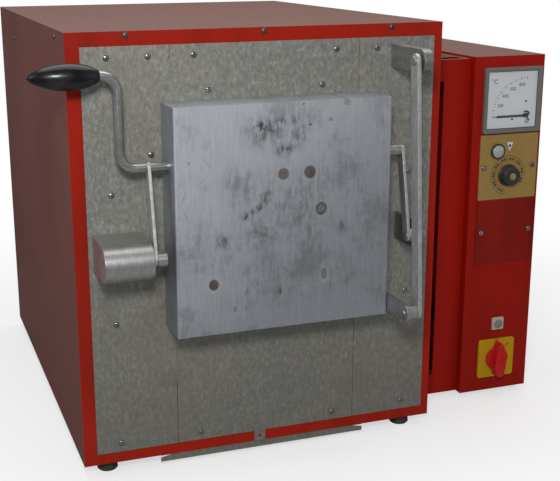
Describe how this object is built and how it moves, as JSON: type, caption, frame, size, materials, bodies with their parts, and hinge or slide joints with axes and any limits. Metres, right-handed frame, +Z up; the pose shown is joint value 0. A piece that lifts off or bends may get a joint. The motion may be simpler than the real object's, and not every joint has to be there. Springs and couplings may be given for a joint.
{
  "type": "jewellery kiln",
  "caption": "Front-loading box kiln with a lined chamber, a door swung out flat by a lever and guide arm, and a side control box.",
  "frame": {"origin": "middle of the whole footprint, on the surface that the feet stand on", "axes": "+Z up, the door faces -Y, the control box is on the +X side"},
  "size_m": [0.768, 0.7709, 0.5865],
  "materials": {
    "case_paint": "worn gloss enamel",
    "box_paint": "worn gloss enamel, darker",
    "zinc_sheet": "aluminised sheet, stained",
    "door_sheet": "brushed, scuffed",
    "steel": "satin",
    "fibre": "soft fibre board",
    "hearth": "fired plate",
    "element": "oxidised wire",
    "grip_black": "moulded, glossy",
    "black_plastic": "moulded",
    "rubber": "matt",
    "dial_white": "matt printed",
    "glass": "clear",
    "gold_plate": "satin anodised",
    "lamp_lens": "frosted",
    "switch_yellow": "moulded",
    "switch_red": "moulded"
  },
  "bodies": {
    "root": {"left_side": "case_paint", "right_side": "case_paint", "top_cover": "case_paint", "base_plate": "zinc_sheet", "rear_cover": "case_paint", "front_frame": "case_paint", "front_panel_left": "zinc_sheet", "front_panel_centre": "zinc_sheet", "front_panel_right": "zinc_sheet", "front_tab": "zinc_sheet", "panel_screws": "steel", "frame_screws": "case_paint", "feet": "rubber", "under_plate": "zinc_sheet", "support_frame": "steel", "floor_boards": "fibre", "side_boards": "fibre", "roof_boards": "fibre", "rear_board": "fibre", "muffle_floor": "fibre", "muffle_sides": "fibre", "muffle_roof": "fibre", "muffle_back": "fibre", "mouth_collar": "fibre", "hearth_plate": "hearth", "heating_elements": "element", "element_terminals": "fibre", "thermocouple": "steel", "lever_bearing": "steel", "lever_bracket": "steel", "guide_bracket": "steel", "control_box": "box_paint", "control_front": "box_paint", "control_rear": "box_paint", "box_neck": "box_paint", "meter_bezel": "black_plastic", "meter_housing": "black_plastic", "meter_dial": "dial_white", "meter_glass": "glass", "regulator_plate": "gold_plate", "regulator_body": "black_plastic", "pilot_lamps": "lamp_lens", "blank_plate": "box_paint", "switch_body": "switch_yellow", "contactor": "black_plastic", "cable_gland": "black_plastic"},
    "lever": {"lever_rod": "steel", "lever_grip": "grip_black", "lever_arm_left": "steel", "lever_arm_right": "steel", "lever_pins": "steel"},
    "door": {"door_shell": "door_sheet", "door_filling": "fibre", "door_pivot_tube": "steel", "door_lug": "steel"},
    "guide": {"guide_arm": "steel", "guide_pin": "steel"},
    "pointer": {"meter_pointer": "black_plastic"},
    "knob": {"regulator_knob": "black_plastic"},
    "switch": {"switch_handle": "switch_red"}
  },
  "joints": [
    {"name": "lever_swing", "type": "hinge", "parent": "root", "child": "lever", "pos_m": [-0.077, -0.32495, 0.311], "axis": [1, 0, 0], "range_deg": [0, 175]},
    {"name": "door_turn", "type": "hinge", "parent": "lever", "child": "door", "pos_m": [-0.0693, -0.30045, 0.423], "axis": [1, 0, 0], "range_deg": [-271.02, 0.5]},
    {"name": "guide_turn", "type": "hinge", "parent": "door", "child": "guide", "pos_m": [0.094, -0.37445, 0.2205], "axis": [1, 0, 0], "range_deg": [-0.5, 61.3]},
    {"name": "pointer_turn", "type": "hinge", "parent": "root", "child": "pointer", "pos_m": [0.355, -0.20195, 0.4421], "axis": [0, 1, 0], "range_deg": [0, 88], "stiffness_Nm_per_rad": 0.0001},
    {"name": "knob_turn", "type": "hinge", "parent": "root", "child": "knob", "pos_m": [0.331, -0.21295, 0.3535], "axis": [0, 1, 0], "range_deg": [0, 270]},
    {"name": "switch_turn", "type": "hinge", "parent": "root", "child": "switch", "pos_m": [0.327, -0.21295, 0.0637], "axis": [0, 1, 0], "range_deg": [0, 45]}
  ],
  "couplings": [
    {"joint": "door_turn", "follows": "lever_swing", "ratio": -1.543},
    {"joint": "guide_turn", "follows": "lever_swing", "ratio": 0.34457}
  ]
}
